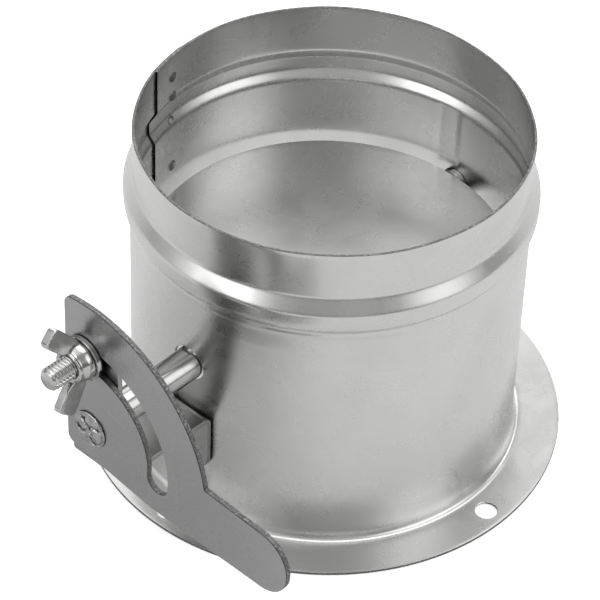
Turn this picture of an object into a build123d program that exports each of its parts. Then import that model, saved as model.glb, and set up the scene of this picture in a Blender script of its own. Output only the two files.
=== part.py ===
"""Manual duct damper: a flanged sheet-metal collar with a disc blade on a shaft, turned by a hand
lever with a slotted quadrant and held by a wing nut on a stud.

Frame: +Z runs up the duct from the flange's underside at z = 0, the duct axis is the Z axis, and the
shaft runs along Y with the lever outside the wall at -Y. Lengths are in millimetres. The blade is shut.
"""
from build123d import *
import math
import os

# Duct body: one rolled sheet. The collar goes into the duct as far as the bead
sheet = 0.7
collar_d = 99.2
collar_length = 13.0
body_step = 0.7
height = 93.3
flange_w = 12.5
flange_root_r = 1.6
flange_hole_d = 5.8
flange_hole_out = 7.2
flange_hole_count = 4
bead_height = 10.4
bead_proud = 1.6
bead_blend_r = 1.3

# Lap seam of the rolled sheet: where its inner end stops, how long and how proud it is
seam_angle = 199.0
seam_lap = 27.5
seam_step = 0.56
lap_inset = 0.1
lap_lead = 3.0
lap_foot = 3.0

# Shaft and blade
shaft_d = 8.5
shaft_z = 46.9
shaft_flat = 0.3
shaft_stub = 4.2
bearing_gap = 0.08
wall_hole_gap = 0.3
shaft_end_chamfer = 0.5
blade_gap = 2.1
blade_t = 0.8
blade_flat_spare = 0.8
stake_d = 10.4
stake_h = 0.7
stake_edge = 0.5
stake_mark_length = 6.4
stake_mark_width = 1.1
stake_mark_depth = 0.35

# Lever
lever_out = 33.1
lever_t = 1.5
lever_left = 8.0
quadrant_r = 38.6
slot_r = 22.8
slot_gap = 0.35
slot_top_angle = 97.0
slot_low_angle = -6.0
handle_reach = 64.8
handle_root_v = 6.0
handle_tip_v = 4.6
handle_low_v = -12.2
handle_low_start = 20.0
handle_tip_r = 8.2
heel_v = -8.3
heel_r = 2.2
crown_r = 2.5
belly_r = 45.0

# Bracket
bracket_w = 16.0
bracket_t = 1.5
bracket_bend_r = 1.0
bracket_corner_r = 4.0
arm_drop = 12.8
foot_drop = 31.0
strip_over = 8.0
foot_gap = 0.02
slide_gap = 0.2

# Clamp: stud, washer and wing nut. The stud stands in the slot at its shut end
stud_d = 6.0
stud_angle = 93.0
stud_proud = 12.2
stud_tip = 0.8
stud_head_d = 9.0
stud_head_t = 1.2
washer_d = 12.0
washer_gap = 0.2
washer_t = 1.2
nut_bore_gap = 0.05
nut_seat_gap = 0.05
nut_base_d = 10.6
nut_top_d = 8.2
nut_hub_h = 4.0
nut_hub_round = 0.5
wing_t = 2.4
wing_root_low = 1.0
wing_root_high = 3.6
wing_root_r = 3.6
wing_root_t = 1.0
wing_paddle_r = 3.0
wing_paddle_out = 9.0
wing_paddle_up = 7.4
wing_edge = 0.6
wing_lean = 10.0

# Retaining ring on the far end of the shaft
ring_t = 0.6
ring_dish = 1.1
ring_dish_w = 1.95
ring_rim_w = 1.3
ring_wall_gap = 0.3
ring_slots = 6
ring_slot_w = 1.2
ring_slot_depth = 1.45

# Worked out from the sizes above
collar_r = collar_d / 2
body_r = collar_r + body_step
flange_r = body_r + flange_w
bead_high = height - collar_length
bead_low = bead_high - bead_height
bead_mid = (bead_low + bead_high) / 2
crest_r = body_r + bead_proud
shaft_r = shaft_d / 2
neck_side = shaft_d / math.sqrt(2)
blade_r = collar_r - sheet - blade_gap
slot_w = stud_d + 2 * slot_gap
lever_reach = body_r + lever_out
lever_back = lever_reach - lever_t
strip_front = lever_back - slide_gap
strip_back = strip_front - bracket_t
blade_seat = shaft_r - shaft_flat
stud_x = slot_r * math.cos(math.radians(stud_angle))
stud_z = shaft_z + slot_r * math.sin(math.radians(stud_angle))
washer_back = lever_reach + slide_gap
nut_back = washer_back + washer_t + nut_seat_gap
OUTWARD = (0, -1, 0)
INWARD = (0, 1, 0)


def facing_out(reach, z, x=0):
    """A plane square to the shaft at a distance on the lever's side, x to the right and y up."""
    return Plane(origin=(x, -reach, z), x_dir=(1, 0, 0), z_dir=OUTWARD)


def radial_plane(angle, origin=(0, 0, 0)):
    """A plane through a vertical axis, x away from the axis at the given angle and y up."""
    turn = math.radians(angle)
    return Plane(origin=origin, x_dir=(math.cos(turn), math.sin(turn), 0),
                 z_dir=(math.sin(turn), -math.cos(turn), 0))


def wall_section(foot, inset):
    """The sheet's section from its foot points up to the collar's end, its outer face set in by inset."""
    wall_r, rim_r = body_r - inset, collar_r - inset
    with BuildLine() as face:
        Polyline(*foot, (wall_r, bead_low))
        ThreePointArc((wall_r, bead_low), (crest_r - inset, bead_mid), (rim_r, bead_high))
        Line((rim_r, bead_high), (rim_r, height))
        fillet(face.vertices().sort_by_distance((rim_r, bead_high))[0], radius=bead_blend_r)
        if len(foot) > 1:
            fillet(face.vertices().sort_by_distance(foot[-1])[0], radius=flange_root_r)
        offset(amount=sheet - inset, side=Side.LEFT)
    return face.line


# The sheet's inner end winds in about an axis that is shifted a little, so that it leaves the wall
# gently and stands proud inside by seam_step where it ends
lap_turn = math.degrees(seam_lap / collar_r)
shift = seam_step / math.sin(math.radians(lap_turn))
shift_turn = math.radians(seam_angle - lap_turn - 90)
lap_origin = (shift * math.cos(shift_turn), shift * math.sin(shift_turn), 0)

with BuildPart() as duct_body:
    with BuildSketch(Plane.XZ):
        with BuildLine():
            add(wall_section([(flange_r, sheet), (body_r, sheet)], 0))
        make_face()
    revolve(axis=Axis.Z)
    with BuildSketch(radial_plane(seam_angle - lap_turn - lap_lead, lap_origin)):
        with BuildLine():
            add(wall_section([(body_r - lap_inset, lap_foot)], lap_inset))
        make_face()
    revolve(axis=Axis(lap_origin, (0, 0, 1)), revolution_arc=lap_turn + lap_lead)
    with BuildSketch(Plane.XY):
        with PolarLocations(body_r + flange_hole_out, flange_hole_count):
            Circle(flange_hole_d / 2)
    extrude(amount=2 * sheet, mode=Mode.SUBTRACT)
    with BuildSketch(facing_out(0, shaft_z)):
        Circle(shaft_r + wall_hole_gap)
    extrude(amount=flange_r, mode=Mode.SUBTRACT)
    with BuildSketch(facing_out(0, shaft_z)):
        Circle(shaft_r + bearing_gap)
    extrude(amount=-flange_r, mode=Mode.SUBTRACT)

with BuildPart() as blade:
    with BuildSketch(Plane.XY.offset(shaft_z + blade_seat)):
        Circle(blade_r)
    extrude(amount=blade_t)

shaft_far = body_r + shaft_stub
flat_half = blade_r + blade_flat_spare
with BuildPart() as shaft:
    with BuildSketch(facing_out(-shaft_far, shaft_z)):
        Circle(shaft_r)
    extrude(amount=shaft_far + lever_back)
    with BuildSketch(facing_out(lever_back, shaft_z)):
        Rectangle(neck_side, neck_side)
    extrude(amount=lever_t)
    with BuildSketch(facing_out(lever_reach, shaft_z)):
        Circle(stake_d / 2)
    extrude(amount=stake_h)
    chamfer(shaft.faces().sort_by(Axis.Y)[0].edges(), length=stake_edge)
    with BuildSketch(facing_out(lever_reach + stake_h - stake_mark_depth, shaft_z)):
        with PolarLocations(0, 2, start_angle=45, angular_range=180):
            Rectangle(stake_mark_length, stake_mark_width)
    extrude(amount=stake_mark_depth, mode=Mode.SUBTRACT)
    with BuildSketch(Plane.XY.offset(shaft_z + blade_seat)):
        Rectangle(shaft_d, 2 * flat_half)
    extrude(amount=shaft_flat, mode=Mode.SUBTRACT)
    chamfer(shaft.faces().sort_by(Axis.Y)[-1].edges(), length=shaft_end_chamfer)

crown_v = math.sqrt(quadrant_r ** 2 - lever_left ** 2)
handle_root_u = math.sqrt(quadrant_r ** 2 - handle_root_v ** 2)
crown_point = (-lever_left, crown_v)
handle_root = (handle_root_u, handle_root_v)
quadrant_mid = (quadrant_r / math.sqrt(2), quadrant_r / math.sqrt(2))
belly_point = (handle_low_start, handle_low_v)
heel_point = (-lever_left, heel_v)
tip_points = [(handle_reach, handle_tip_v), (handle_reach, handle_low_v)]

with BuildPart() as lever:
    with BuildSketch(facing_out(lever_back, shaft_z)) as lever_outline:
        with BuildLine():
            ThreePointArc(crown_point, quadrant_mid, handle_root)
            Polyline(handle_root, *tip_points, belly_point, heel_point, crown_point)
        make_face()
        for corner, radius in ((crown_point, crown_r), (tip_points[0], handle_tip_r),
                               (tip_points[1], handle_tip_r), (heel_point, heel_r),
                               (belly_point, belly_r)):
            fillet(lever_outline.vertices().sort_by_distance(corner)[0], radius=radius)
        with BuildLine():
            CenterArc((0, 0), slot_r, slot_low_angle, slot_top_angle - slot_low_angle)
            offset(amount=slot_w / 2)
        make_face(mode=Mode.SUBTRACT)
        Rectangle(neck_side, neck_side, mode=Mode.SUBTRACT)
    extrude(amount=lever_t)

with BuildPart() as bracket:
    with BuildSketch(Plane.YZ.offset(-bracket_w / 2)):
        with BuildLine():
            FilletPolyline((-body_r - foot_gap, shaft_z - foot_drop), (-body_r - foot_gap, shaft_z - arm_drop),
                           (-strip_back, shaft_z - arm_drop), (-strip_back, stud_z + strip_over),
                           radius=[bracket_bend_r + bracket_t, bracket_bend_r])
            offset(amount=bracket_t, side=Side.LEFT)
        make_face()
    extrude(amount=bracket_w)
    corners = bracket.edges().filter_by(Axis.Y)
    fillet(corners.group_by(Axis.Z)[0] + corners.group_by(Axis.Z)[-1], radius=bracket_corner_r)
    with BuildSketch(facing_out(strip_back, shaft_z)):
        Circle(shaft_r + bearing_gap)
        with Locations((stud_x, stud_z - shaft_z)):
            Circle(stud_d / 2)
    extrude(amount=bracket_t, mode=Mode.SUBTRACT)

with BuildPart() as clamp_stud:
    with BuildSketch(facing_out(strip_back - stud_head_t, stud_z, stud_x)):
        Circle(stud_head_d / 2)
    extrude(amount=stud_head_t)
    with BuildSketch(facing_out(strip_back, stud_z, stud_x)):
        Circle(stud_d / 2)
    extrude(amount=lever_reach + stud_proud - strip_back)
    chamfer(clamp_stud.faces().sort_by(Axis.Y)[0].edges(), length=stud_tip)

with BuildPart() as flat_washer:
    with BuildSketch(facing_out(washer_back, stud_z, stud_x)):
        Circle(washer_d / 2)
        Circle(stud_d / 2 + washer_gap, mode=Mode.SUBTRACT)
    extrude(amount=washer_t)

# One wing in the nut's own frame: x out from the axis, z up it
with BuildPart() as wing:
    with BuildSketch(Plane.XZ):
        with Locations((wing_paddle_out, wing_paddle_up)):
            Circle(wing_paddle_r)
        with Locations((wing_root_r, (wing_root_low + wing_root_high) / 2)):
            Rectangle(wing_root_t, wing_root_high - wing_root_low)
        make_hull()
    extrude(amount=wing_t / 2, both=True)
    rim = wing.faces().filter_by(Axis.Y).edges().filter_by(lambda edge: edge.center().X > wing_root_r)
    chamfer(rim, length=wing_edge)

with BuildPart(facing_out(nut_back, stud_z, stud_x)) as wing_nut:
    with BuildSketch(facing_out(nut_back, stud_z, stud_x)):
        Circle(nut_base_d / 2)
    with BuildSketch(facing_out(nut_back + nut_hub_h, stud_z, stud_x)):
        Circle(nut_top_d / 2)
    loft()
    fillet(wing_nut.faces().sort_by(Axis.Y)[0].edges(), radius=nut_hub_round)
    with PolarLocations(0, 2, start_angle=90 + wing_lean):
        add(wing.part)
    with BuildSketch(facing_out(nut_back, stud_z, stud_x)):
        Circle(stud_d / 2 + nut_bore_gap)
    extrude(amount=nut_hub_h, mode=Mode.SUBTRACT)

with BuildPart() as retaining_ring:
    with BuildSketch(Plane(origin=(0, 0, shaft_z), x_dir=(1, 0, 0), z_dir=(0, 0, 1))):
        with BuildLine():
            Polyline((shaft_r, body_r + ring_wall_gap + ring_dish),
                     (shaft_r + ring_dish_w, body_r + ring_wall_gap),
                     (shaft_r + ring_dish_w + ring_rim_w, body_r + ring_wall_gap))
            offset(amount=ring_t, side=Side.LEFT)
        make_face()
    revolve(axis=Axis((0, 0, shaft_z), INWARD))
    with BuildSketch(facing_out(-body_r - ring_wall_gap - ring_t - ring_dish, shaft_z)):
        with PolarLocations(0, ring_slots):
            Rectangle(shaft_r + ring_slot_depth, ring_slot_w, align=(Align.MIN, Align.CENTER))
    extrude(amount=ring_t + ring_dish, mode=Mode.SUBTRACT)

os.makedirs("parts", exist_ok=True)
for name, piece in (("duct_body", duct_body), ("blade", blade), ("shaft", shaft), ("lever", lever),
                    ("bracket", bracket), ("clamp_stud", clamp_stud), ("flat_washer", flat_washer),
                    ("wing_nut", wing_nut), ("retaining_ring", retaining_ring)):
    piece.part.label = name
    export_step(piece.part, f"parts/{name}.step")
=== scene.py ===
"""Looks of the manual duct damper, in the shared frame: rolled shell, disc blade, hand lever and fasteners."""
import math

import bmesh
import bpy
import numpy as np
from mathutils import Matrix, Vector, noise


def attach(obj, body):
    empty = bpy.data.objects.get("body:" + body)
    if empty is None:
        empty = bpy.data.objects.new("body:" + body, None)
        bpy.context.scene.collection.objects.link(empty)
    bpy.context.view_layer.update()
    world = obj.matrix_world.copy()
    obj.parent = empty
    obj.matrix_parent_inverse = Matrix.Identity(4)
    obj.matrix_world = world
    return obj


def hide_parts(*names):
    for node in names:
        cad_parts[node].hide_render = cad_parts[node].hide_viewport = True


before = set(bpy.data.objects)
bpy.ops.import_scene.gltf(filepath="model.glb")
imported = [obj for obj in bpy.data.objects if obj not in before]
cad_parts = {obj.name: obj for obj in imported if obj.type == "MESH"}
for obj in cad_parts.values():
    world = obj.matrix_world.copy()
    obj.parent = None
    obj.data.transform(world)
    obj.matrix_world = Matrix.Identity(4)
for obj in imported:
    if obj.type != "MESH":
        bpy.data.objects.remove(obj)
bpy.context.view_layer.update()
MM = 0.001

# Sizes in millimetres and angles in degrees, as the solids have them
SHEET = 0.7
COLLAR_R = 49.6
WALL_R = 50.3
HEIGHT = 93.3
FLANGE_R = 62.77
ROOT_R = 1.6
BEAD_LOW = 69.9
BEAD_HIGH = 80.3
HOLE_R = 2.9
HOLE_RING_R = 57.5
SEAM_ANGLE = 199.0
SEAM_STEP = 0.56
SHAFT_Z = 46.9
BLADE_R = 46.8
BLADE_T = 0.8
BLADE_Z = SHAFT_Z + 3.95
LEVER_FACE = 83.4
LEVER_T = 1.5
HEAD_R = 5.2
STUD = (-1.1933, 69.6688)
STUD_BACK = 80.2
STUD_TIP = 95.6
PITCH = 1.0

# Fine forms of the rolled sheet that only the looks have: broken edges, foot flare, bead, rollers' prints, lap,
# press mark over the far bearing, lip and bearing holes
EDGE_R = 0.15
FOOT_FLARE = 0.8
FOOT_HEIGHT = 7.0
ROOT_TURN = -149.0
BEAD_LINE = [(0.0, WALL_R), (69.7, WALL_R), (72.2, 51.85), (73.5, 51.95), (76.3, 51.95), (BEAD_HIGH, COLLAR_R),
             (HEIGHT, COLLAR_R)]
BEND_BLUR = 0.28
RIDGE_Z = BEAD_LOW - 1.1
RIDGE_PROUD = 0.26
RIDGE_WIDE = 0.62
STEP_Z = 62.2
STEP_END_Z = 66
STEP_PROUD = 0.05
SEAM_LAP = 31.8
OUTER_LAP = 185.0
OUTER_PROUD = 0.22
OUTER_EASE = 8
PRESS_START = 90.0
PRESS_END = 99.0
LIP_HEIGHT = 9
NEAR_HOLE_R = 4.75
FAR_HOLE_R = 4.33

# Electrode marks down the seam: azimuth and height
WELDS = [(190.0, 86.6), (190.0, 80.6), (188.4, 71.2), (189.2, 57.2), (190.0, 33.0), (190.0, 14.0)]

# Staked head: rows of its top, and the punch slots by place, turn, half length, half width and depth
HEAD_ROWS = 30
PUNCHES = [(-3.5, -1.0, 118, 1.0, 0.4, 0.6), (1.1, -3.4, 142, 1.1, 0.4, 0.6), (-1.6, 2.6, 60, 0.8, 0.4, 0.3),
           (2.4, 1.2, 20, 0.7, 0.4, 0.3)]

# Rolled M6 thread: height and radius along one pitch
THREAD = [(0.0, 2.46), (0.12, 2.42), (0.22, 2.46), (0.38, 2.74), (0.5, 2.95), (0.58, 3.0), (0.66, 2.95),
          (0.8, 2.72)]

# Cast wing nut: its back face, the lean of its wings and their thickness
NUT_BACK = 84.85
WING_LEAN = 12.0
WING_T = 2.5

# Soft panels round the object: turn, rise, width, fade and strength, where one below zero takes light away
PANELS = [(302, 0, 14, 12, -0.3), (15, 31, 5, 27, 1.95), (259, 18, 6, 14, 2.0), (146, 34, 6, 13, 1.95),
          (105, 75, 18, 14, 2.3), (72, 25, 5, 14, 2.2), (239, 45, 33, 14, 0.65), (118, 2, 23, 14, 2.3),
          (283, 37, 45, 14, 0.33)]
ROOM = 0.22

# White paper: its lift for the camera, its glow in metal beside the duct, a painted pool of light inside it, and
# the centre of a painted shadow under the lever
PAPER_GLOW = 0.45
PAPER_BESIDE = 0.26
PAPER_PAINTED_GLOW_INSIDE = 0.72
PAINTED_SHADOW_UNDER_LEVER = (-0.022, -0.105, 0.0)


def place_object(name, data):
    """An object in the scene for a mesh, a lens or a lamp."""
    obj = bpy.data.objects.new(name, data)
    bpy.context.scene.collection.objects.link(obj)
    return obj


def mesh_from(name, points, faces):
    """A mesh from points in millimetres."""
    mesh = bpy.data.meshes.new(name)
    mesh.from_pydata([tuple(p) for p in np.asarray(points, float) * MM], [], faces)
    return mesh


def set_camera():
    """A long lens that looks down past the lever, placed from the photograph."""
    lens = bpy.data.cameras.new("studio_camera")
    lens.lens = 179.34
    lens.sensor_width = 36
    lens.clip_start = 0.05
    lens.clip_end = 30
    camera = place_object("studio_camera", lens)
    right = Vector((0.72635261, 0.68674044, 0.02827444))
    up = Vector((-0.46910668, 0.46525979, 0.75064789))
    back = Vector((0.50234531, -0.55849879, 0.66009719))
    turn = Matrix((right, up, back)).transposed().to_4x4()
    camera.matrix_world = Matrix.Translation((0.38146613, -0.43430988, 0.54388912)) @ turn
    bpy.context.scene.camera = camera


def linear(shade):
    """A six-digit sRGB hex shade as the linear colour that the shaders take."""
    parts = [int(shade[i:i + 2], 16) / 255 for i in (1, 3, 5)]
    return tuple(c / 12.92 if c <= 0.04045 else ((c + 0.055) / 1.055) ** 2.4 for c in parts) + (1.0,)


def add_node(tree, kind, settings=None, inputs=None):
    """Adds a node; inputs hold a value, or the output socket of another node that is linked in."""
    node = tree.nodes.new(kind)
    for name, value in (settings or {}).items():
        setattr(node, name, value)
    for name, value in (inputs or {}).items():
        if isinstance(value, bpy.types.NodeSocket):
            tree.links.new(value, node.inputs[name])
        else:
            node.inputs[name].default_value = value
    return node


def per(size):
    """The texture scale whose pattern has features of this size in millimetres."""
    return 1000.0 / size


def plate_rim(tree, coordinates):
    """The sheared rim of a plate square to the shaft: where it is, and how far back from the front face."""
    facing = add_node(tree, "ShaderNodeSeparateXYZ", inputs={"Vector": coordinates.outputs["Normal"]})
    flatness = add_node(tree, "ShaderNodeMath", {"operation": "ABSOLUTE"}, {0: facing.outputs["Y"]})
    mask = add_node(tree, "ShaderNodeMapRange", inputs={
        "Value": flatness.outputs["Value"], "From Min": 0.97, "From Max": 0.7})
    place = add_node(tree, "ShaderNodeSeparateXYZ", inputs={"Vector": coordinates.outputs["Object"]})
    # How far back through the plate: it places the painted shade lines along the rim's two corners
    back = add_node(tree, "ShaderNodeMapRange", inputs={
        "Value": place.outputs["Y"], "From Min": -LEVER_FACE * MM, "From Max": (-LEVER_FACE + LEVER_T) * MM})
    return mask.outputs["Result"], back.outputs["Result"]


def sheet_edge(tree, coordinates):
    """The slit edges of the sheet: round the top of the collar, round the flange, and down the seam, whose edge is
    painted dark as shade.
    """
    place = add_node(tree, "ShaderNodeSeparateXYZ", inputs={"Vector": coordinates.outputs["Object"]})
    top = add_node(tree, "ShaderNodeMapRange", inputs={
        "Value": place.outputs["Z"], "From Min": (HEIGHT - 0.2) * MM, "From Max": (HEIGHT - 0.08) * MM})
    level = add_node(tree, "ShaderNodeVectorMath", {"operation": "MULTIPLY"},
                     {0: coordinates.outputs["Object"], 1: (1, 1, 0)})
    reach = add_node(tree, "ShaderNodeVectorMath", {"operation": "LENGTH"}, {0: level.outputs["Vector"]})
    rim = add_node(tree, "ShaderNodeMapRange", inputs={
        "Value": reach.outputs["Value"], "From Min": (FLANGE_R - 0.16) * MM, "From Max": (FLANGE_R - 0.06) * MM})
    around = add_node(tree, "ShaderNodeVectorMath", {"operation": "CROSS_PRODUCT"},
                      {0: (0, 0, 1), 1: level.outputs["Vector"]})
    around = add_node(tree, "ShaderNodeVectorMath", {"operation": "NORMALIZE"}, {0: around.outputs["Vector"]})
    sideways = add_node(tree, "ShaderNodeVectorMath", {"operation": "DOT_PRODUCT"},
                        {0: around.outputs["Vector"], 1: coordinates.outputs["Normal"]})
    sideways = add_node(tree, "ShaderNodeMath", {"operation": "ABSOLUTE"}, {0: sideways.outputs["Value"]})
    seam = add_node(tree, "ShaderNodeMapRange", inputs={
        "Value": sideways.outputs["Value"], "From Min": 0.6, "From Max": 0.9})
    rims = add_node(tree, "ShaderNodeMath", {"operation": "MAXIMUM"}, {0: top.outputs["Result"],
                                                                       1: rim.outputs["Result"]})
    edges = add_node(tree, "ShaderNodeMath", {"operation": "MAXIMUM"}, {0: rims.outputs["Value"],
                                                                        1: seam.outputs["Result"]})
    # Painted shade: the seam's cut edge takes the darkest end of the corner shading, for the shade under the lap;
    # the rims stay at its light middle
    back = add_node(tree, "ShaderNodeMapRange", inputs={
        "Value": seam.outputs["Result"], "To Min": 0.5, "To Max": 0.0})
    return edges.outputs["Value"], back.outputs["Result"]


def metal(name, tones, rough, cloud, grain, wave=None, nicks=None, stretch=(1, 1, 1), seed=0.0, cut=None,
          recess_shade=None):
    """A bare or plated metal: cloudy tone and roughness, fine grain, slow waves, small nicks, and cut edges
    darkened partly by their torn finish and partly by painted shade.

    tones are the darkest and lightest shade, rough is a middle and a spread, and cloud is a size in millimetres.
    grain, wave and nicks are each a size and a depth in millimetres. cut finds the sheared edges, and recess_shade
    names the attribute that tells what lies low and takes painted shade.
    """
    material = bpy.data.materials.new(name)
    material.use_nodes = True
    tree = material.node_tree
    tree.nodes.clear()
    output = add_node(tree, "ShaderNodeOutputMaterial")
    coordinates = add_node(tree, "ShaderNodeTexCoord")
    place = coordinates.outputs["Object"]
    pulled = add_node(tree, "ShaderNodeMapping", inputs={
        "Vector": place, "Scale": stretch, "Location": (seed, seed * 0.7, seed * 0.3)}).outputs["Vector"]
    clouds = add_node(tree, "ShaderNodeTexNoise", inputs={
        "Vector": place, "Scale": per(cloud), "Detail": 5.0, "Roughness": 0.55, "Distortion": 0.4})
    ramp = add_node(tree, "ShaderNodeValToRGB", inputs={"Fac": clouds.outputs["Fac"]})
    for stop, position, shade in zip(ramp.color_ramp.elements, (0.3, 0.7), tones):
        stop.position, stop.color = position, linear(shade)
    tone = ramp.outputs["Color"]
    smears = add_node(tree, "ShaderNodeTexNoise", inputs={
        "Vector": pulled, "Scale": per(cloud * 0.45), "Detail": 6.0, "Roughness": 0.6, "Distortion": 0.8})
    dull = add_node(tree, "ShaderNodeMapRange", inputs={
        "Value": smears.outputs["Fac"], "From Min": 0.3, "From Max": 0.7, "To Min": rough[0] - rough[1],
        "To Max": rough[0] + rough[1]}).outputs["Result"]
    fine = add_node(tree, "ShaderNodeTexNoise", inputs={
        "Vector": pulled, "Scale": per(grain[0]), "Detail": 3.0, "Roughness": 0.6})
    bump = add_node(tree, "ShaderNodeBump", inputs={
        "Height": fine.outputs["Fac"], "Strength": 1.0, "Distance": grain[1] * MM})
    if wave:
        slow = add_node(tree, "ShaderNodeTexNoise", inputs={
            "Vector": place, "Scale": per(wave[0]), "Detail": 1.5, "Roughness": 0.4})
        bump = add_node(tree, "ShaderNodeBump", inputs={
            "Height": slow.outputs["Fac"], "Strength": 1.0, "Distance": wave[1] * MM,
            "Normal": bump.outputs["Normal"]})
    if nicks:
        # Nicks are wisps a millimetre or two long: thin cells of a bent pattern, where a second noise lets them be
        bent = add_node(tree, "ShaderNodeTexNoise", inputs={"Vector": place, "Scale": per(1.6), "Detail": 3.0})
        shaken = add_node(tree, "ShaderNodeVectorMath", {"operation": "MULTIPLY_ADD"},
                          {0: bent.outputs["Color"], 1: (0.003, 0.003, 0.003), 2: place})
        cells = add_node(tree, "ShaderNodeTexVoronoi", inputs={
            "Vector": shaken.outputs["Vector"], "Scale": per(nicks[0]), "Randomness": 1.0})
        pits = add_node(tree, "ShaderNodeMapRange", {"interpolation_type": "SMOOTHSTEP"}, {
            "Value": cells.outputs["Distance"], "From Min": 0.03, "From Max": 0.1, "To Min": 1.0, "To Max": 0.0})
        where = add_node(tree, "ShaderNodeTexNoise", inputs={
            "Vector": pulled, "Scale": per(nicks[0] * 2.2), "Detail": 1.0})
        there = add_node(tree, "ShaderNodeMapRange", inputs={
            "Value": where.outputs["Fac"], "From Min": 0.52, "From Max": 0.6})
        worn = add_node(tree, "ShaderNodeMath", {"operation": "MULTIPLY"},
                        {0: pits.outputs["Result"], 1: there.outputs["Result"]})
        bump = add_node(tree, "ShaderNodeBump", {"invert": True}, {
            "Height": worn.outputs["Value"], "Strength": 1.0, "Distance": nicks[1] * MM,
            "Normal": bump.outputs["Normal"]})
    if cut:
        # A sheared edge is dark with bright flecks, partly the torn metal's own finish and partly painted shade;
        # the dark line along each corner is painted shade
        mask, back = cut(tree, coordinates)
        torn = add_node(tree, "ShaderNodeTexNoise", inputs={
            "Vector": place, "Scale": per(0.5), "Detail": 3.0, "Roughness": 0.7})
        flecks = add_node(tree, "ShaderNodeValToRGB", inputs={"Fac": torn.outputs["Fac"]})
        for position, shade in ((0.42, "#606060"), (0.54, "#727272"), (0.64, "#9E9E9E"), (0.74, "#ACACAC")):
            flecks.color_ramp.elements.new(position).color = linear(shade)
        flecks.color_ramp.elements[0].color = linear("#505050")
        corners = add_node(tree, "ShaderNodeValToRGB", inputs={"Fac": back})
        for position, shade in ((0.25, "#F0F0F0"), (0.8, "#F0F0F0"), (1.0, "#505050")):
            corners.color_ramp.elements.new(position).color = linear(shade)
        corners.color_ramp.elements[0].color = linear("#505050")
        edge = add_node(tree, "ShaderNodeMix", {"data_type": "RGBA", "blend_type": "MULTIPLY"},
                        {0: 1.0, 6: flecks.outputs["Color"], 7: corners.outputs["Color"]}).outputs[2]
        tone = add_node(tree, "ShaderNodeMix", {"data_type": "RGBA"}, {0: mask, 6: tone, 7: edge}).outputs[2]
        dull = add_node(tree, "ShaderNodeMix", inputs={0: mask, 2: dull, 3: 0.45}).outputs[0]
        rags = add_node(tree, "ShaderNodeMath", {"operation": "MULTIPLY"}, {0: torn.outputs["Fac"], 1: mask})
        bump = add_node(tree, "ShaderNodeBump", inputs={
            "Height": rags.outputs["Value"], "Strength": 1.0, "Distance": 0.06 * MM,
            "Normal": bump.outputs["Normal"]})
    if recess_shade:
        # Painted shade: what lies low is darkened towards near black
        low = add_node(tree, "ShaderNodeAttribute", {"attribute_name": recess_shade})
        tone = add_node(tree, "ShaderNodeMix", {"data_type": "RGBA"},
                        {0: low.outputs["Fac"], 6: tone, 7: linear("#2C2C2C")}).outputs[2]
    skin = add_node(tree, "ShaderNodeBsdfPrincipled", inputs={
        "Base Color": tone, "Metallic": 1.0, "Roughness": dull, "Normal": bump.outputs["Normal"]})
    tree.links.new(skin.outputs["BSDF"], output.inputs["Surface"])
    return material


# Skin-passed galvanised sheet: pale satin grey, soft reflections that waver with the wall, a few small nicks
galvanised_sheet = metal("galvanised_sheet_skin_passed", ("#C6C6C5", "#CFCFCE"), rough=(0.28, 0.03), cloud=26.0,
                         grain=(0.5, 0.001), wave=(22.0, 0.1), nicks=(7.0, 0.02), cut=sheet_edge)
# The same sheet cut flat for the disc: the zinc shows wide soft clouds and long shallow waves
blade_sheet = metal("galvanised_sheet_blanked", ("#BEBEBD", "#CECECD"), rough=(0.27, 0.03), cloud=30.0,
                    grain=(0.5, 0.001), wave=(36.0, 0.12), seed=3.0)
# The bracket's strip: the same zinc coat on a thicker strip, without the rolled wall's waves; its grey is set
# darker than the wall's as painted shade under the lever and shaft
bracket_strip_in_shade = metal("galvanised_strip_bent_painted_shade", ("#939392", "#A0A09F"), rough=(0.3, 0.04), cloud=12.0,
                      grain=(0.5, 0.001), seed=4.0)
# Electrode marks: the zinc is burnt off and the steel tinted, so the pressed rings are duller and darker
burnt_sheet = metal("spot_welded_sheet_burnt", ("#5C5C5B", "#8C8C8B"), rough=(0.4, 0.05), cloud=1.5,
                    grain=(0.5, 0.004), seed=6.0)
# Mild steel plate, blanked and zinc plated: an even mid grey, soft reflections of what stands close, sheared edges
lever_plate = metal("zinc_plated_steel_plate", ("#9E9E9E", "#A3A3A3"), rough=(0.27, 0.03), cloud=20.0,
                    grain=(0.4, 0.0008), wave=(16.0, 0.03), seed=5.0, cut=plate_rim)
# Bright drawn bar: streaks along its length from the die, sharper highlights
drawn_bar = metal("bright_drawn_steel_bar", ("#989897", "#B2B2B1"), rough=(0.17, 0.04), cloud=9.0,
                  grain=(0.6, 0.002), stretch=(1, 0.06, 1), seed=7.0)
# The bar's end beaten flat over the lever: duller and darker, with the tool's marks bright on their edges and
# painted shade in their low places
staked_steel = metal("staked_steel_head", ("#8E8E8E", "#B4B4B4"), rough=(0.22, 0.05), cloud=2.0,
                     grain=(0.5, 0.01), seed=8.0, recess_shade="recess_shade")
# Bright zinc on small cast and rolled fasteners: high contrast, slightly grainy skin
bright_zinc = metal("bright_zinc_plating", ("#A8A8A7", "#C0C0BF"), rough=(0.15, 0.05), cloud=3.0,
                    grain=(0.7, 0.006), wave=(3.0, 0.05), seed=9.0)
# Spring steel ring, phosphated and oiled: dark satin
spring_steel = metal("phosphated_spring_steel", ("#5E5F60", "#757677"), rough=(0.34, 0.04), cloud=6.0,
                     grain=(0.4, 0.003), seed=11.0)


def new_piece(name, points, faces, material, body, slot=None, nodes=(), sharp=40.0):
    """A piece from points in millimetres, smooth except where two faces meet at more than the sharp angle."""
    obj = place_object(name, mesh_from(name, points, faces))
    finish_piece(obj, material, body, nodes, sharp)
    return obj


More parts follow.
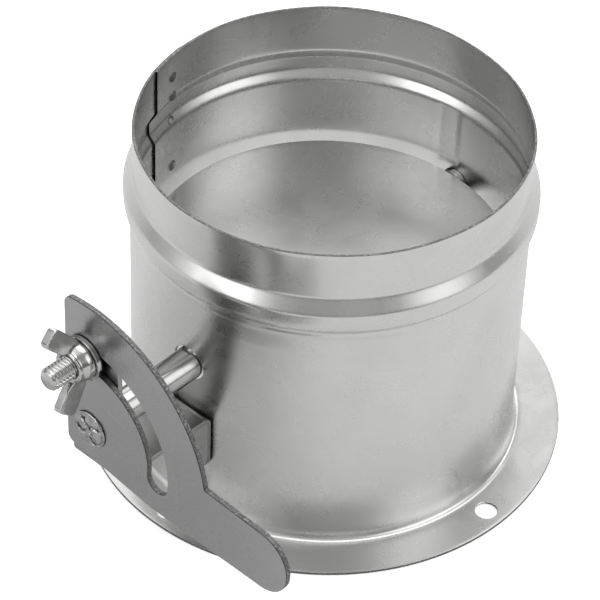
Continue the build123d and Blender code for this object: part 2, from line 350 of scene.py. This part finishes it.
def finish_piece(obj, material, body, nodes, sharp, plates=False):
    """Cleans the mesh, marks sharp edges, dresses it and hands it to the frame; plates keep wide faces flat."""
    shape = bmesh.new()
    shape.from_mesh(obj.data)
    bmesh.ops.remove_doubles(shape, verts=shape.verts, dist=1e-6)
    bmesh.ops.dissolve_degenerate(shape, edges=shape.edges, dist=1e-6)
    bmesh.ops.recalc_face_normals(shape, faces=shape.faces)
    for face in shape.faces:
        face.smooth = True
        face.material_index = 0
    for edge in shape.edges:
        edge.smooth = len(edge.link_faces) == 2 and edge.calc_face_angle(0.0) < math.radians(sharp)
    shape.to_mesh(obj.data)
    shape.free()
    if plates:
        weighted = obj.modifiers.new("flat_faces", "WEIGHTED_NORMAL")
        weighted.keep_sharp = True
        weighted.weight = 100
        apply_modifiers(obj)
    obj.data.materials.clear()
    obj.data.materials.append(material)
    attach(obj, body)
    if nodes:
        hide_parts(*nodes)


def from_solid(node, name):
    """A copy of a solid's mesh with its flat faces made whole, as an object of its own at the origin."""
    obj = place_object(name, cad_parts[node].data.copy())
    shape = bmesh.new()
    shape.from_mesh(obj.data)
    bmesh.ops.remove_doubles(shape, verts=shape.verts, dist=2e-6)
    bmesh.ops.dissolve_limit(shape, angle_limit=math.radians(0.4), verts=shape.verts, edges=shape.edges)
    shape.to_mesh(obj.data)
    shape.free()
    return obj


def apply_modifiers(obj):
    """Makes the object's modifiers part of its mesh and removes them."""
    evaluated = obj.evaluated_get(bpy.context.evaluated_depsgraph_get())
    mesh = bpy.data.meshes.new_from_object(evaluated)
    obj.modifiers.clear()
    obj.data = mesh


def break_edges(obj, width, segments=2):
    """Rounds the sharp edges a little, so that they catch the light as sheared and tumbled edges do."""
    bevel = obj.modifiers.new("broken_edges", "BEVEL")
    bevel.width = width * MM
    bevel.segments = segments
    bevel.limit_method = "ANGLE"
    bevel.angle_limit = math.radians(35.0)
    bevel.use_clamp_overlap = True
    apply_modifiers(obj)


def arc(centre, radius, start, end, count):
    """Points along an arc in a section, from one angle to the other."""
    angles = np.radians(np.linspace(start, end, count))
    return np.stack([centre[0] + radius * np.cos(angles), centre[1] + radius * np.sin(angles)], -1)


def lathe(profile, origin, axis, side, count=96, shape=None):
    """Turns a section of (radius, height) about an axis; shape may alter the radius by (angle, row)."""
    axis, side = np.array(axis, float), np.array(side, float)
    third = np.cross(axis, side)
    points, faces, rows = [], [], len(profile)
    for i in range(count):
        a = 2 * math.pi * i / count
        for j, (radius, height) in enumerate(profile):
            if shape is not None:
                radius, height = shape(a, j, radius, height)
            points.append(np.array(origin) + side * radius * math.cos(a) + third * radius * math.sin(a)
                          + axis * height)
    for i in range(count):
        n = (i + 1) % count
        for j in range(rows - 1):
            faces.append((i * rows + j, n * rows + j, n * rows + j + 1, i * rows + j + 1))
    return points, faces


# Duct shell
def wall_radius(z, marks=1.0):
    """The wall's outer radius at a height: body, bead and collar; marks are the rollers' prints, on or off."""
    heights, radii = zip(*BEAD_LINE)
    radius = np.interp(z, heights, radii) + FOOT_FLARE * (np.clip(FOOT_HEIGHT - z, 0, None)
                                                          / (FOOT_HEIGHT - ROOT_R)) ** 4
    radius = radius + marks * RIDGE_PROUD * np.exp(-((z - RIDGE_Z) / RIDGE_WIDE) ** 2)
    step = marks * STEP_PROUD / (1 + np.exp(-(z - STEP_Z) / 0.12))
    return radius + step * (z < STEP_END_Z) * np.clip((STEP_END_Z - z) / 3.5, 0, 1)


def wall_line(marks):
    """The outer face's section from the flange rim up to the collar's edge, with its outward normals."""
    tangent = math.radians(ROOT_TURN)
    foot = SHEET + ROOT_R * (1 + math.sin(tangent))
    root_centre = float(wall_radius(np.array(foot), 0.0)) - ROOT_R * math.cos(tangent)
    fine = np.arange(foot, HEIGHT - 0.149, 0.05)
    radius = wall_radius(fine, marks)
    kernel = np.exp(-0.5 * (np.arange(-30, 31) * 0.05 / BEND_BLUR) ** 2)
    smooth = np.convolve(np.pad(radius, 30, mode="edge"), kernel / kernel.sum(), mode="valid")
    stops = np.concatenate([[foot, 2.2, 2.9, 3.7, 4.7, 6.0, 7.5], np.arange(9.4, 39.0, 3.1),
                            np.arange(39.9, 54.2, 1.0), np.arange(55.0, 61.0, 2.0), np.arange(61.4, 63.2, 0.3),
                            np.arange(63.6, 67.0, 0.8), np.arange(67.2, 82.6, 0.36),
                            np.arange(83.2, HEIGHT - 0.3, 2.2), [HEIGHT - EDGE_R]])
    wall = np.stack([np.interp(stops, fine, smooth), stops], -1)
    rim = np.stack([np.linspace(FLANGE_R - EDGE_R, root_centre, 14), np.full(14, SHEET)], -1)
    root = arc((root_centre, SHEET + ROOT_R), ROOT_R, -90, math.degrees(tangent), 9)
    line = np.concatenate([rim, root[1:], wall[1:]])
    run = np.gradient(line, axis=0)
    run /= np.linalg.norm(run, axis=1)[:, None]
    return line, np.stack([run[:, 1], -run[:, 0]], -1)


def shell_section():
    """The sheet's closed section, how far each point is on the inner face, and how many are on the outer one."""
    outer = wall_line(1.0)[0]
    plain, facing = wall_line(0.0)
    facing[:14] = (0, 1)
    inner = plain - facing * SHEET
    top = arc((outer[-1, 0] - EDGE_R, HEIGHT - EDGE_R), EDGE_R, 0, 90, 4)[1:]
    top_in = arc((inner[-1, 0] + EDGE_R, HEIGHT - EDGE_R), EDGE_R, 90, 180, 4)[:-1]
    rim_in = arc((FLANGE_R - EDGE_R, EDGE_R), EDGE_R, -90, 0, 4)[1:]
    rim_out = arc((FLANGE_R - EDGE_R, SHEET - EDGE_R), EDGE_R, 0, 90, 4)[:-1]
    loop = np.concatenate([outer, top, top_in, inner[::-1], rim_in, rim_out])
    inward = np.concatenate([np.zeros(len(outer)), np.linspace(0, 1, 7)[1:], np.ones(len(inner) - 1),
                             np.zeros(len(rim_in) + len(rim_out) + 1)])[:len(loop)]
    return loop, inward, len(outer)


def lap_step(turn, z, inward):
    """How far the sheet's inner end stands proud inside: it winds in over the lap and stops at the seam."""
    along = np.clip((turn - (SEAM_ANGLE - SEAM_LAP)) / SEAM_LAP, 0, 1)
    return SEAM_STEP * along ** 1.4 * np.clip((z - 2.6) / 3.0, 0, 1) * inward


def outer_end(turn):
    """How far the sheet's outer end stands proud at a turn past it."""
    return OUTER_PROUD * (1 - (turn - OUTER_LAP) / OUTER_EASE) ** 2


def build_shell():
    """The sheet as one closed skin: its section taken round, and round holes with broken edges through it."""
    loop, inward, outer_count = shell_section()
    turns = np.concatenate([np.arange(0, OUTER_LAP + 0.5, 1.0), np.arange(OUTER_LAP, SEAM_ANGLE + 0.5, 1.0),
                            np.arange(SEAM_ANGLE, 360, 1.0)])
    lap_column, seam_column = int(OUTER_LAP) + 1, int(SEAM_ANGLE) + 1
    points, columns, rows = [], len(turns), len(loop)
    for k, turn in enumerate(turns):
        step = lap_step(turn, loop[:, 1], inward) if k <= seam_column else 0
        radius = loop[:, 0] - step
        # Press mark over the far bearing: a shallow channel between two creases
        if PRESS_START <= turn <= PRESS_END:
            ripple = 1 - 0.3 * math.cos(math.radians((turn - (PRESS_START + PRESS_END) / 2) * 40))
            channel = 0.2 * min(1.0, turn - PRESS_START, PRESS_END - turn) * ripple
            radius = radius + channel * inward * np.clip((loop[:, 1] - 50) / 3, 0, 1) * (loop[:, 1] < 69.5)
        # Outer end of the sheet: it stands proud outside and eases back to the wall
        if k >= lap_column and turn < OUTER_LAP + OUTER_EASE:
            radius = radius + outer_end(turn) * (1 - inward) * (loop[:, 1] > 3)
        # The collar's lip is a little out of round, more so towards its edge
        lip = np.clip((loop[:, 1] - (HEIGHT - LIP_HEIGHT)) / LIP_HEIGHT, 0, 1) ** 2
        wobble = 0.16 * math.sin(math.radians(3 * turn + 20)) + 0.07 * math.sin(math.radians(11 * turn + 70))
        radius = radius + lip * wobble
        a = math.radians(turn)
        points.append(np.stack([radius * math.cos(a), radius * math.sin(a), loop[:, 1]], -1))
    points = np.concatenate(points)
    cells = np.ones((columns, rows), bool)
    faces, extra = [], []

    def near_shaft(radius, z):
        return abs(z - SHAFT_Z) <= 6.6 and abs(radius - WALL_R) < 1.2

    def on_flange(radius, z):
        return 52.95 <= radius <= 61.9 and z < 0.8

    def add_ring(centre, axis, along, across, angle, radius, outside, sink=0.0):
        """Points round a hole on one face of the sheet, sunk into it a little for the broken edge."""
        made = []
        for a, r in zip(angle, radius):
            p = centre + along * (r * math.cos(a)) + across * (r * math.sin(a))
            if abs(axis[2]) > 0.5:
                p[2] = (SHEET - sink) if outside else sink
            else:
                face_r = (WALL_R - sink) if outside else (WALL_R - SHEET + sink)
                p[1] = math.copysign(math.sqrt(face_r ** 2 - p[0] ** 2), centre[1])
            made.append(len(points) + len(extra))
            extra.append(p)
        return made

    def pierce(turn, centre, axis, along, size, lip, reach_columns, test):
        """Cuts a round hole through both faces of the sheet, inside the window of rows that pass the test."""
        axis, along = np.array(axis, float), np.array(along, float)
        across = np.cross(axis, along)
        middle = int(turn) + (turn >= OUTER_LAP) + (turn >= SEAM_ANGLE)
        low_i, high_i = middle - reach_columns, middle + reach_columns
        rims = []
        for outside in (True, False):
            face_rows = range(0, outer_count) if outside else range(outer_count, rows)
            inside = [j for j in face_rows if test(*loop[j])]
            low_j, high_j = min(inside), max(inside)
            border = [(i, j) for i in range(low_i, high_i + 1) for j in range(low_j, high_j + 1)
                      if i in (low_i, high_i) or j in (low_j, high_j)]
            for i in range(low_i, high_i):
                cells[i % columns, low_j:high_j] = False
            index = np.array([(i % columns) * rows + j for i, j in border])
            flat = np.stack([(points[index] - centre) @ along, (points[index] - centre) @ across], -1)
            order = np.argsort(np.arctan2(flat[:, 1], flat[:, 0]))
            index, flat = index[order], flat[order]
            angle = np.arctan2(flat[:, 1], flat[:, 0])
            reach = np.linalg.norm(flat, axis=1)
            rings = [index]
            for share in (0.3, 0.6, 0.85, 1.0):
                radius = reach + (size + lip - reach) * share
                rings.append(add_ring(centre, axis, along, across, angle, radius, outside))
            radius = np.full(len(angle), size)
            rings.append(add_ring(centre, axis, along, across, angle, radius, outside, sink=lip))
            for wide, narrow in zip(rings[:-1], rings[1:]):
                for k in range(len(index)):
                    n = (k + 1) % len(index)
                    faces.append((wide[k], wide[n], narrow[n], narrow[k]))
            rims.append(rings[-1])
        first, second = rims
        for k in range(len(first)):
            n = (k + 1) % len(first)
            faces.append((first[k], first[n], second[n], second[k]))

    for turn, size, lip in ((270, NEAR_HOLE_R, 0.24), (90, FAR_HOLE_R, 0.12)):
        side = math.copysign(1, math.sin(math.radians(turn)))
        pierce(turn, np.array([0, side * WALL_R, SHAFT_Z]), (0, side, 0), (1, 0, 0), size, lip, 8, near_shaft)
    for turn in (0, 90, 180, 270):
        a = math.radians(turn)
        pierce(turn, np.array([HOLE_RING_R * math.cos(a), HOLE_RING_R * math.sin(a), 0]), (0, 0, 1),
               (math.cos(a), math.sin(a), 0), HOLE_R, 0.14, 4, on_flange)
    for i in range(columns):
        n = (i + 1) % columns
        for j in range(rows):
            if cells[i, j]:
                m = (j + 1) % rows
                faces.append((i * rows + j, n * rows + j, n * rows + m, i * rows + m))
    return np.concatenate([points, np.array(extra)]), faces


new_piece("duct_shell", *build_shell(), galvanised_sheet, "duct", "galvanised_sheet", ["duct_body"])


# Electrode marks of the seam
def weld_mark_nodes():
    """Sets one pressed ring on each point, turned to face along the point's own direction."""
    tree = bpy.data.node_groups.new("weld_marks_along_seam", "GeometryNodeTree")
    for name, kind in (("Centres", "Geometry"), ("Pressed Ring", "Object"), ("Least Size", "Float"),
                       ("Largest Size", "Float"), ("Seed", "Int"), ("Sheet", "Material")):
        tree.interface.new_socket(name, in_out="INPUT", socket_type="NodeSocket" + kind)
    tree.interface.new_socket("Marks", in_out="OUTPUT", socket_type="NodeSocketGeometry")
    given = add_node(tree, "NodeGroupInput")
    ring = add_node(tree, "GeometryNodeObjectInfo", inputs={"Object": given.outputs["Pressed Ring"]})
    facing = add_node(tree, "GeometryNodeInputNamedAttribute", {"data_type": "FLOAT_VECTOR"}, {"Name": "facing"})
    turned = add_node(tree, "FunctionNodeAlignRotationToVector", {"axis": "Z"},
                      {"Vector": facing.outputs["Attribute"]})
    size = add_node(tree, "FunctionNodeRandomValue", {"data_type": "FLOAT"}, {
        2: given.outputs["Least Size"], 3: given.outputs["Largest Size"], 8: given.outputs["Seed"]})
    spread = add_node(tree, "GeometryNodeInstanceOnPoints", inputs={
        "Points": given.outputs["Centres"], "Instance": ring.outputs["Geometry"],
        "Rotation": turned.outputs["Rotation"], "Scale": size.outputs[1]})
    real = add_node(tree, "GeometryNodeRealizeInstances", inputs={"Geometry": spread.outputs["Instances"]})
    dressed = add_node(tree, "GeometryNodeSetMaterial", inputs={
        "Geometry": real.outputs["Geometry"], "Material": given.outputs["Sheet"]})
    add_node(tree, "NodeGroupOutput", inputs={"Marks": dressed.outputs["Geometry"]})
    return tree


def set_inputs(modifier, values):
    """Sets the modifier's inputs through their sockets' identifiers."""
    sockets = {socket.name: socket.identifier for socket in modifier.node_group.interface.items_tree
               if socket.in_out == "INPUT"}
    for name, value in values.items():
        modifier[sockets[name]] = value


def on_wall(turn, z, radius):
    a = math.radians(turn)
    return Vector((radius * math.cos(a), radius * math.sin(a), z))


def build_weld_marks():
    """A pressed ring round a shallow pit at each weld inside, and its low print outside."""
    ring_line = [(0.0, 0.04), (0.5, 0.04), (0.8, 0.08), (1.05, 0.22), (1.25, 0.3), (1.4, 0.28), (1.6, 0.14),
                 (1.75, 0.02), (1.8, -0.06), (0.0, -0.06)]
    points, faces = lathe(ring_line, (0, 0, 0), (0, 0, 1), (1, 0, 0), 28)
    ring = place_object("pressed_ring", mesh_from("pressed_ring", points, faces))
    centres, facings = [], []
    for turn, z in WELDS:
        wall = float(wall_radius(np.array(z), 0.0)) - SHEET - float(lap_step(turn, z, 1.0))
        on_bead = 70 <= z <= 84
        tilt = 0.5 if on_bead and z < 78 else 0.0
        normal = Vector((-math.cos(math.radians(turn)), -math.sin(math.radians(turn)), tilt)).normalized()
        centres.append(on_wall(turn, z, wall) * MM)
        facings.append(normal)
        if not on_bead:
            centres.append(on_wall(turn, z, float(wall_radius(np.array(z))) + outer_end(turn) - 0.16) * MM)
            facings.append(Vector((-normal.x, -normal.y, 0)))
    mesh = bpy.data.meshes.new("weld_marks")
    mesh.from_pydata(centres, [], [])
    facing = mesh.attributes.new("facing", "FLOAT_VECTOR", "POINT")
    for k, vector in enumerate(facings):
        facing.data[k].vector = vector
    marks = place_object("weld_marks", mesh)
    spread = marks.modifiers.new("marks_along_seam", "NODES")
    spread.node_group = weld_mark_nodes()
    set_inputs(spread, {"Pressed Ring": ring, "Least Size": 0.78, "Largest Size": 0.95, "Seed": 4,
                        "Sheet": burnt_sheet})
    apply_modifiers(marks)
    bpy.data.objects.remove(ring)
    finish_piece(marks, burnt_sheet, "duct", (), 60.0)


build_weld_marks()


# Blade
def disc_section(radius, thick, edge):
    """A flat disc's section from the axis and back to it, with its edge rounded."""
    return ([(0.0, 0.0)] + [(radius * s, 0.0) for s in (0.25, 0.5, 0.75, 0.95)] +
            [tuple(p) for p in arc((radius - edge, edge), edge, -90, 0, 4)] +
            [tuple(p) for p in arc((radius - edge, thick - edge), edge, 0, 90, 4)] +
            [(radius * s, thick) for s in (0.95, 0.75, 0.5, 0.25)] + [(0.0, thick)])


blade_points, blade_faces = lathe(disc_section(BLADE_R, BLADE_T, 0.12), (0, 0, BLADE_Z), (0, 0, 1), (1, 0, 0), 360)
new_piece("blade_disc", blade_points, blade_faces, blade_sheet, "damper", "blade_sheet", ["blade"])

# Plates and strip: the solids with their sheared edges broken by a width, in a number of segments
for node, name, width, segments, material, body, slot in (
        ("lever", "hand_lever", 0.1, 2, lever_plate, "damper", "lever_plate"),
        ("bracket", "strap_bracket", 0.14, 2, bracket_strip_in_shade, "duct", "galvanised_sheet"),
        ("flat_washer", "plain_washer", 0.12, 2, bright_zinc, "duct", "zinc_fastener"),
        ("retaining_ring", "push_on_ring", 0.06, 1, spring_steel, "damper", "zinc_fastener")):
    plate = from_solid(node, name)
    break_edges(plate, width, segments)
    finish_piece(plate, material, body, [node], 60.0, plates=True)


# Shaft: the bar from its solid, and a staked head of its own over the lever
def hammered(angle, row, radius, height):
    """The staked head's top: a low dome with the tool's crossed marks, deep punch slots and a beaten lip."""
    if row >= HEAD_ROWS:
        return radius, height
    u, v = radius * math.cos(angle), radius * math.sin(angle)
    dome = 0.5 - 0.08 * (radius / HEAD_R) ** 2
    u += noise.noise(Vector((u * 0.7, v * 0.7, 4.5))) * 0.9
    v += noise.noise(Vector((u * 0.7, v * 0.7, 9.5))) * 0.9
    rough = (noise.noise(Vector((u * 1.3, v * 1.3, 2.5))) * 0.16
             + noise.noise(Vector((u * 2.9, v * 2.9, 7.5))) * 0.1)
    inside = 1 / (1 + math.exp((radius - 3.9) / 0.2))
    for turn in (38, 128):
        across = abs(-u * math.sin(math.radians(turn)) + v * math.cos(math.radians(turn)))
        dome -= 0.26 * math.exp(-(across / 0.36) ** 2) * inside
        dome += 0.1 * math.exp(-((across - 0.85) / 0.26) ** 2) * inside
    for at_u, at_v, turn, long, wide, deep in PUNCHES:
        c, s = math.cos(math.radians(turn)), math.sin(math.radians(turn))
        run, side = (u - at_u) * c + (v - at_v) * s, -(u - at_u) * s + (v - at_v) * c
        dome -= deep * math.exp(-(run / long) ** 4 - (side / wide) ** 2)
    right = 0.5 + 0.5 * math.cos(angle - 0.2)
    lip = math.exp(-((radius - 4.75) / 0.2) ** 2) * (0.02 + 0.16 * right)
    groove = 0.28 * right ** 1.5 * math.exp(-((radius - 4.25) / 0.2) ** 2)
    return radius, max(0.06, dome + rough + lip - groove)


pivot = from_solid("shaft", "pivot_bar")
bar_shape = bmesh.new()
bar_shape.from_mesh(pivot.data)
past_lever = [v for v in bar_shape.verts if v.co.y < -(LEVER_FACE + 0.05) * MM]
bmesh.ops.delete(bar_shape, geom=past_lever, context="VERTS")
bar_shape.to_mesh(pivot.data)
bar_shape.free()
break_edges(pivot, 0.1)
finish_piece(pivot, drawn_bar, "damper", ["shaft"], 50.0)

head_line = ([(HEAD_R * 0.965 * k / (HEAD_ROWS - 1), 0.5) for k in range(HEAD_ROWS)] +
             [(5.09, 0.36), (5.16, 0.22), (5.19, 0.08), (5.1, 0.0), (0.0, 0.0)])
head_points, head_faces = lathe(head_line, (0, -LEVER_FACE, SHAFT_Z), (0, -1, 0), (1, 0, 0), 120, hammered)
staked_head = new_piece("staked_head", head_points, head_faces, staked_steel, "damper", "shaft_steel", (), 50.0)
# How low each point lies under the head's top, which sets how much painted shade its grooves and slots get
recess_shade_weight = staked_head.data.attributes.new("recess_shade", "FLOAT", "POINT")
for vertex in staked_head.data.vertices:
    rise = -vertex.co.y / MM - LEVER_FACE
    recess_shade_weight.data[vertex.index].value = min(1.0, max(0.0, (0.36 - rise) / 0.2))


# Clamp stud
def thread_points():
    """An M6 rod with a rolled thread: each row follows the helix, and the tip is cut square with a chamfer."""
    count = 64
    turns = int(STUD_TIP - STUD_BACK) + 3
    points, faces = [], []
    rows = turns * len(THREAD)
    for i in range(count):
        share = i / count
        a = 2 * math.pi * share
        for k in range(turns):
            for height, radius in THREAD:
                reach = STUD_BACK - 1.5 + (k + height + share) * PITCH
                held = min(max(reach, STUD_BACK), STUD_TIP)
                radius_here = min(radius, 2.3 + max(0.0, STUD_TIP - held))
                points.append((STUD[0] + radius_here * math.cos(a), -held, STUD[1] + radius_here * math.sin(a)))
    for i in range(count):
        n = (i + 1) % count
        # Once round, the helix has climbed by one pitch
        shift = len(THREAD) if n == 0 else 0
        for j in range(shift, rows - 1):
            faces.append((i * rows + j, n * rows + j - shift, n * rows + j + 1 - shift, i * rows + j + 1))
    tip = len(points)
    points.append((STUD[0], -STUD_TIP, STUD[1]))
    for i in range(count):
        n = (i + 1) % count
        faces.append((i * rows + rows - 1, n * rows + rows - 1, tip))
    return points, faces


stud_points, stud_faces = thread_points()
back_points, back_faces = lathe([(0, 0), (4.2, 0), (4.5, 0.3), (4.5, 1.2), (0, 1.2)],
                                (STUD[0], -STUD_BACK + 1.2, STUD[1]), (0, -1, 0), (1, 0, 0), 48)
stud_faces += [tuple(i + len(stud_points) for i in face) for face in back_faces]
new_piece("threaded_stud", stud_points + back_points, stud_faces, bright_zinc, "duct", "zinc_fastener",
          ["clamp_stud"], 50.0)


# Wing nut: cast, so every corner runs into the next; the rough shape is remeshed and relaxed
def wing_nut_points():
    """The nut before casting softens it: a tapered hub with a raised mouth, and two straight-ended wings."""
    hub = [(3.12, 0.0), (5.2, 0.0), (5.3, 0.4), (5.05, 1.6), (4.4, 3.0), (4.3, 3.3), (4.35, 3.9), (4.0, 4.15),
           (3.12, 4.15)]
    points, faces = lathe(hub + hub[:1], (STUD[0], -NUT_BACK, STUD[1]), (0, -1, 0), (1, 0, 0), 72)
    wing = [(3.5, 0.4), (5.2, 0.3), (7.0, 1.2), (11.7, 5.3), (12.1, 6.0), (12.0, 6.8), (10.0, 9.3), (9.3, 9.7),
            (8.5, 9.5), (5.0, 6.2), (4.3, 5.0), (3.8, 3.9)]
    count = len(wing)
    for turn in (90 + WING_LEAN, 270 + WING_LEAN):
        out = np.array([math.cos(math.radians(turn)), 0, math.sin(math.radians(turn))])
        side = np.cross(out, (0, -1, 0))
        first = len(points)
        for half in (-WING_T / 2, WING_T / 2):
            for reach, rise in wing:
                points.append(np.array([STUD[0], -NUT_BACK - rise, STUD[1]]) + out * reach + side * half)
        faces.append(tuple(first + k for k in range(count)))
        faces.append(tuple(first + count + k for k in reversed(range(count))))
        for k in range(count):
            n = (k + 1) % count
            faces.append((first + k, first + count + k, first + count + n, first + n))
    return points, faces


wing_nut = place_object("cast_wing_nut", mesh_from("cast_wing_nut", *wing_nut_points()))
loose = bmesh.new()
loose.from_mesh(wing_nut.data)
bmesh.ops.remove_doubles(loose, verts=loose.verts, dist=1e-6)
bmesh.ops.recalc_face_normals(loose, faces=loose.faces)
loose.to_mesh(wing_nut.data)
loose.free()
remesh = wing_nut.modifiers.new("cast_skin", "REMESH")
remesh.mode = "VOXEL"
remesh.voxel_size = 0.16 * MM
relax = wing_nut.modifiers.new("cast_corners", "SMOOTH")
relax.factor = 0.5
relax.iterations = 10
apply_modifiers(wing_nut)
finish_piece(wing_nut, bright_zinc, "nut", ["wing_nut"], 80.0)


# Studio: pale floor, soft boxes, white background
def toward(turn, rise):
    """A direction by its turn from +X and its rise over the floor, in degrees."""
    a, b = math.radians(turn), math.radians(rise)
    return math.cos(a) * math.cos(b), math.sin(a) * math.cos(b), math.sin(b)


def build_room():
    """A dim room with soft panels round the object, which the camera sees as plain white."""
    world = bpy.data.worlds.new("studio_room")
    bpy.context.scene.world = world
    world.use_nodes = True
    tree = world.node_tree
    tree.nodes.clear()
    output = add_node(tree, "ShaderNodeOutputWorld")
    direction = add_node(tree, "ShaderNodeTexCoord").outputs["Generated"]
    total = ROOM
    for turn, rise, wide, fade, strength in PANELS:
        near = add_node(tree, "ShaderNodeVectorMath", {"operation": "DOT_PRODUCT"},
                        {0: direction, 1: toward(turn, rise)})
        panel = add_node(tree, "ShaderNodeMapRange", {"interpolation_type": "SMOOTHSTEP"}, {
            "Value": near.outputs["Value"], "From Min": math.cos(math.radians(wide + fade)),
            "From Max": math.cos(math.radians(wide)), "To Min": 0.0, "To Max": strength})
        total = add_node(tree, "ShaderNodeMath", {"operation": "ADD"},
                         {0: panel.outputs["Result"], 1: total}).outputs["Value"]
    path = add_node(tree, "ShaderNodeLightPath")
    room = add_node(tree, "ShaderNodeBackground", inputs={"Color": (1, 1, 1, 1), "Strength": total})
    white = add_node(tree, "ShaderNodeBackground", inputs={"Color": (1, 1, 1, 1), "Strength": 1.0})
    seen = add_node(tree, "ShaderNodeMath", {"operation": "MAXIMUM"},
                    {0: path.outputs["Is Camera Ray"], 1: path.outputs["Is Transmission Ray"]})
    mixed = add_node(tree, "ShaderNodeMixShader", inputs={
        0: seen.outputs["Value"], 1: room.outputs["Background"], 2: white.outputs["Background"]})
    tree.links.new(mixed.outputs["Shader"], output.inputs["Surface"])


def build_floor():
    """White paper: the camera sees it lifted to white, and metal sees its shade, a painted glow in the duct and a
    painted shadow under the lever.
    """
    size = 3.0
    floor_mesh = bpy.data.meshes.new("studio_floor")
    corners = [(-size, -size, 0), (size, -size, 0), (size, size, 0), (-size, size, 0)]
    floor_mesh.from_pydata(corners, [], [(0, 1, 2, 3)])
    floor = place_object("studio_floor", floor_mesh)
    floor.location.z = -0.0002
    paper = bpy.data.materials.new("white_paper_sweep")
    paper.use_nodes = True
    tree = paper.node_tree
    tree.nodes.clear()
    output = add_node(tree, "ShaderNodeOutputMaterial")
    path = add_node(tree, "ShaderNodeLightPath")
    place = add_node(tree, "ShaderNodeTexCoord").outputs["Object"]
    reach = add_node(tree, "ShaderNodeVectorMath", {"operation": "LENGTH"}, {0: place})
    # Painted light: metal sees the paper glow bright inside the duct, where the floor would lie in shade
    painted_glow_inside = add_node(tree, "ShaderNodeMapRange", inputs={
        "Value": reach.outputs["Value"], "From Min": (WALL_R - 1) * MM, "From Max": WALL_R * MM,
        "To Min": PAPER_PAINTED_GLOW_INSIDE, "To Max": 0.0})
    # Painted shadow: the glow that metal sees beside the duct fades out under the lever
    away = add_node(tree, "ShaderNodeVectorMath", {"operation": "DISTANCE"}, {0: place, 1: PAINTED_SHADOW_UNDER_LEVER})
    beside = add_node(tree, "ShaderNodeMapRange", {"interpolation_type": "SMOOTHSTEP"}, {
        "Value": away.outputs["Value"], "From Min": 0.02, "From Max": 0.1, "To Min": 0.0, "To Max": PAPER_BESIDE})
    glowing = add_node(tree, "ShaderNodeMath", {"operation": "ADD"},
                       {0: painted_glow_inside.outputs["Result"], 1: beside.outputs["Result"]})
    mirrored = add_node(tree, "ShaderNodeMath", {"operation": "MAXIMUM"},
                        {0: path.outputs["Is Glossy Ray"], 1: path.outputs["Is Transmission Ray"]})
    for_metal = add_node(tree, "ShaderNodeMath", {"operation": "MULTIPLY"},
                         {0: mirrored.outputs["Value"], 1: glowing.outputs["Value"]})
    lift = add_node(tree, "ShaderNodeMath", {"operation": "MULTIPLY_ADD"},
                    {0: path.outputs["Is Camera Ray"], 1: PAPER_GLOW, 2: for_metal.outputs["Value"]})
    shade = add_node(tree, "ShaderNodeMapRange", inputs={
        "Value": mirrored.outputs["Value"], "To Min": 0.8, "To Max": 0.5})
    matt = add_node(tree, "ShaderNodeBsdfDiffuse", inputs={"Color": shade.outputs["Result"]})
    glow = add_node(tree, "ShaderNodeEmission", inputs={"Color": (1, 1, 1, 1), "Strength": lift.outputs["Value"]})
    both = add_node(tree, "ShaderNodeAddShader", inputs={0: matt.outputs["BSDF"], 1: glow.outputs["Emission"]})
    tree.links.new(both.outputs["Shader"], output.inputs["Surface"])
    floor_mesh.materials.append(paper)


def build_lamp():
    """One wide soft box over the object."""
    lamp = bpy.data.lights.new("soft_box_over", "AREA")
    lamp.shape = "SQUARE"
    lamp.size = 1.1
    lamp.energy = 1.5
    place = Vector((0.0, 0.15, 1.5))
    box = place_object("soft_box_over", lamp)
    box.location = place
    box.rotation_euler = (Vector((0, 0, 0.05)) - place).to_track_quat("-Z", "Y").to_euler()


set_camera()
bpy.context.scene.view_settings.view_transform = "Standard"
build_room()
build_floor()
build_lamp()
